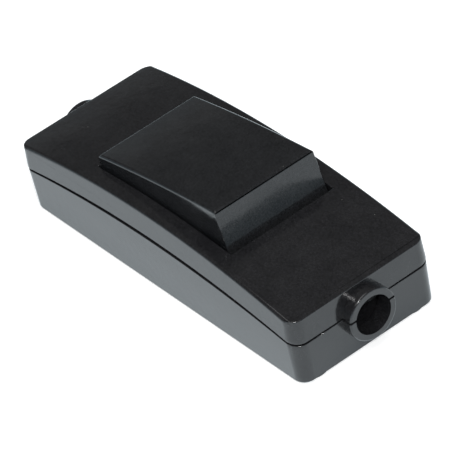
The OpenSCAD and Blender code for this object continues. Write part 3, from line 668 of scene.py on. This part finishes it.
def run_tree(tree, name, values):
    """The plain mesh that a geometry tree makes from the values given by name."""
    host = bpy.data.objects.new(name + " host", bpy.data.meshes.new(name + " host"))
    bpy.context.scene.collection.objects.link(host)
    modifier = host.modifiers.new("screws", "NODES")
    modifier.node_group = tree
    give_inputs(modifier, values)
    bpy.context.view_layer.update()
    shaped = host.evaluated_get(bpy.context.evaluated_depsgraph_get())
    mesh = bpy.data.meshes.new_from_object(shaped)
    bpy.data.objects.remove(host)
    return mesh


# Which setting gives each size of a screw. Only a cross recess has a length of its own
PAN_HEAD = {
    "radius": "pan_head", "height": "pan_height", "rounding": "pan_round",
    "crest": "pan_shank", "pitch": "coarse_pitch",
    "width": "cross_width", "length": "cross_length", "depth": "cross_depth",
}
CHEESE_HEAD = {
    "radius": "small_head", "height": "small_height", "rounding": "small_round",
    "crest": "small_shank", "pitch": "fine_pitch",
    "width": "slot_width", "depth": "slot_depth",
}
# Each packed set with its kind of screw and its number of rows. Every row holds two screws
SCREW_SETS = {
    "housing_screws": (PAN_HEAD, 2),
    "terminal_screws": (CHEESE_HEAD, 2),
    "clamp_screws": (CHEESE_HEAD, 2),
    "earth_screws": ({**CHEESE_HEAD, "radius": "earth_head"}, 1),
}


class CordSwitchScrewSets(bpy.types.Operator):
    """Turns the four sets of screws with their slots and threads"""
    bl_idname = "cord_switch.screw_sets"
    bl_label = "Screws"

    def execute(self, context):
        tree = screw_tree()
        for node, (names, rows) in SCREW_SETS.items():
            self.place(tree, node, names, rows)
        return {"FINISHED"}

    def place(self, tree, node, names, rows):
        """Makes one set in the packed node's place. Cross recesses look down, slots look up."""
        screws = bpy.context.scene.cord_switch_screws
        size = SimpleNamespace(**{key: getattr(screws, name) for key, name in names.items()})
        thread = screws.thread
        crossed = "length" in names
        # The bar that cuts a slot runs out past both sides of the head
        recess_length = size.length if crossed else 4 * size.radius
        low, high = (Vector(corner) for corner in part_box(node))
        span = high - low - Vector((1, 1, 0)) * 2 * size.radius
        shank = span.z - size.height
        wound = shank - 2 * thread
        mesh = run_tree(tree, node, {
            "Head Radius": size.radius,
            "Head Height": size.height,
            "Head Rounding": size.rounding,
            # Each cutting bar is centred on the head's top, so half of its height is in the head
            "Slot Size": (recess_length, size.width, 2 * size.depth),
            "Cross Size": (size.width, recess_length, 2 * size.depth),
            "Crossed": crossed,
            "Core Radius": size.crest - thread,
            # The core ends inside the head, a third of the way up to the recess
            "Core Top": (size.height - size.depth) / 3,
            "Core Foot": -shank,
            "Thread Depth": thread,
            "Thread Start": (0.0, 0.0, thread - shank),
            "Thread Height": wound,
            "Thread Turns": wound / size.pitch,
            "Columns": 2,
            "First Column": (-span.x / 2, 0.0, 0.0),
            "Column Step": (span.x, 0.0, 0.0),
            "Rows": rows,
            "First Row": (0.0, -span.y / 2, 0.0),
            "Row Step": (0.0, span.y, 0.0),
            "Finish": finish_named("zinc-plated steel"),
        })
        middle = (low + high) / 2
        if crossed:
            seat = low.z + size.height
            mesh.transform(Matrix.Rotation(math.pi, 4, "X"))
        else:
            seat = high.z - size.height
        mesh.transform(Matrix.Translation((middle.x, middle.y, seat)))
        piece = add_piece(node + "_turned", mesh)
        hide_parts(node)
        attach(piece, "housing")


# The floor's half side and how far it lies under the switch, in metres
FLOOR_HALF = 3.0
FLOOR_DROP = 0.03 * MM
# What the paper gives off by itself where the camera or a reflection meets it, 1 being white
PAPER_GLOW = 0.55
# Each lamp's place and square side in metres and its power in watts
LAMPS = {
    "overhead softbox": ((0.1, -0.2, 0.9), 0.9, 4.2),
    "front lamp": ((0.66, -0.3, 0.66), 0.12, 4.0),
}
LAMP_TARGET = Vector((0, 0, 0.01))
# How bright the room is at each height, from the horizon at 0 to straight overhead at 1
ROOM_LEVELS = {0.06: 1.0, 0.2: 0.45, 0.31: 0.2, 0.37: 0.088, 0.65: 0.1, 0.85: 0.14}
# Up to this height the room has the skylight's cool tone, and above it the paper's
COOL_UP_TO = 0.25


class CordSwitchStage(bpy.types.Operator):
    """Lays the white floor and sets up the lamps and the world"""
    bl_idname = "cord_switch.stage"
    bl_label = "Stage"

    def execute(self, context):
        context.scene.view_settings.view_transform = "Standard"
        self.floor(context.scene)
        self.world(context.scene)
        self.lamps(context.scene)
        return {"FINISHED"}

    def floor(self, scene):
        """Lays one large sheet of white paper just under the switch."""
        mesh = bpy.data.meshes.new("white sweep")
        corners = ((-1, -1), (1, -1), (1, 1), (-1, 1))
        mesh.from_pydata([(x * FLOOR_HALF, y * FLOOR_HALF, -FLOOR_DROP) for x, y in corners],
                         [], [(0, 1, 2, 3)])
        mesh.materials.append(self.paper())
        floor = bpy.data.objects.new("white sweep", mesh)
        scene.collection.objects.link(floor)

    def paper(self):
        """White paper that keeps a shadow. The camera sees it white, and a reflection cool. From
        below it is clear, so that the underside shows."""
        material, tree = new_material("white paper")
        matt = add_node(tree, "ShaderNodeBsdfDiffuse", {"Color": shade("paper")})
        path = add_node(tree, "ShaderNodeLightPath").outputs
        tone = add_node(tree, "ShaderNodeMix", {
            "Factor": path["Is Camera Ray"], COLOUR_A: shade("skylight"),
            COLOUR_B: shade("paper")}, data_type="RGBA")
        glow = add_node(tree, "ShaderNodeEmission", {
            "Color": tone.outputs[MIXED_COLOUR], "Strength": PAPER_GLOW})
        glowing = add_node(tree, "ShaderNodeAddShader", {
            0: matt.outputs["BSDF"], 1: glow.outputs["Emission"]})
        seen = path["Is Camera Ray"]
        for ray in ("Is Glossy Ray", "Is Transmission Ray"):
            seen = add_node(tree, "ShaderNodeMath", {0: seen, 1: path[ray]},
                            operation="MAXIMUM").outputs["Value"]
        upper = add_node(tree, "ShaderNodeMixShader", {
            0: seen, 1: matt.outputs["BSDF"], 2: glowing.outputs["Shader"]})
        below = add_node(tree, "ShaderNodeNewGeometry").outputs["Backfacing"]
        clear = add_node(tree, "ShaderNodeBsdfTransparent")
        sided = add_node(tree, "ShaderNodeMixShader", {
            0: below, 1: upper.outputs["Shader"], 2: clear.outputs["BSDF"]})
        add_node(tree, "ShaderNodeOutputMaterial", {"Surface": sided.outputs["Shader"]})
        return material

    def world(self, scene):
        """White for the camera; for all else a white band round the horizon under a dim ceiling."""
        scene.world = bpy.data.worlds.new("studio")
        scene.world.use_nodes = True
        tree = scene.world.node_tree
        tree.nodes.clear()
        way = add_node(tree, "ShaderNodeTexCoord").outputs["Generated"]
        height = add_node(tree, "ShaderNodeSeparateXYZ", {"Vector": way}).outputs["Z"]
        room = add_node(tree, "ShaderNodeValToRGB", {"Fac": height})
        stops = room.color_ramp.elements
        stops.remove(stops[1])
        for number, (place, level) in enumerate(ROOM_LEVELS.items()):
            stop = stops.new(place) if number else stops[0]
            tone = shade("skylight" if place < COOL_UP_TO else "paper")
            stop.position, stop.color = place, [*(level * c for c in tone[:3]), 1.0]
        path = add_node(tree, "ShaderNodeLightPath")
        seen = add_node(tree, "ShaderNodeMix", {
            "Factor": path.outputs["Is Camera Ray"], COLOUR_A: room.outputs["Color"],
            COLOUR_B: shade("paper")}, data_type="RGBA")
        back = add_node(tree, "ShaderNodeBackground", {
            "Color": seen.outputs[MIXED_COLOUR], "Strength": 1.0})
        add_node(tree, "ShaderNodeOutputWorld", {"Surface": back.outputs["Background"]})

    def lamps(self, scene):
        """Hangs the square lamps, turned to the switch."""
        for name, (place, side, power) in LAMPS.items():
            data = bpy.data.lights.new(name, "AREA")
            data.shape, data.size, data.energy = "SQUARE", side, power
            lamp = bpy.data.objects.new(name, data)
            lamp.location = place
            lamp.rotation_mode = "QUATERNION"
            lamp.rotation_quaternion = (LAMP_TARGET - Vector(place)).to_track_quat("-Z", "Y")
            scene.collection.objects.link(lamp)


STEPS = (
    CordSwitchCamera,
    CordSwitchMouldings,
    CordSwitchSprings,
    CordSwitchScrewSets,
    CordSwitchStage,
)


class CordSwitchPanel(bpy.types.Panel):
    """Lists the builders and sizes of the cord switch"""
    bl_idname = "VIEW3D_PT_cord_switch"
    bl_label = "Cord switch"
    bl_space_type = "VIEW_3D"
    bl_region_type = "UI"
    bl_category = "Cord switch"

    def draw(self, context):
        for step in STEPS:
            self.layout.operator(step.bl_idname)
        for name, group in GROUPS.items():
            box = self.layout.box()
            box.label(text=group.__doc__)
            for key in group.__annotations__:
                box.prop(getattr(context.scene, name), key)


CLASSES = (*GROUPS.values(), *STEPS, CordSwitchPanel)


def register():
    """Adds the classes and each group of settings to Blender."""
    for cls in CLASSES:
        bpy.utils.register_class(cls)
    for name, group in GROUPS.items():
        setattr(bpy.types.Scene, name, bpy.props.PointerProperty(type=group))


def unregister():
    """Takes the settings and the classes away again."""
    for name in GROUPS:
        delattr(bpy.types.Scene, name)
    for cls in reversed(CLASSES):
        bpy.utils.unregister_class(cls)


def main():
    """Registers the classes and runs every builder in order."""
    register()
    for step in STEPS:
        area, name = step.bl_idname.split(".")
        getattr(getattr(bpy.ops, area), name)()


if __name__ == "__main__":
    main()
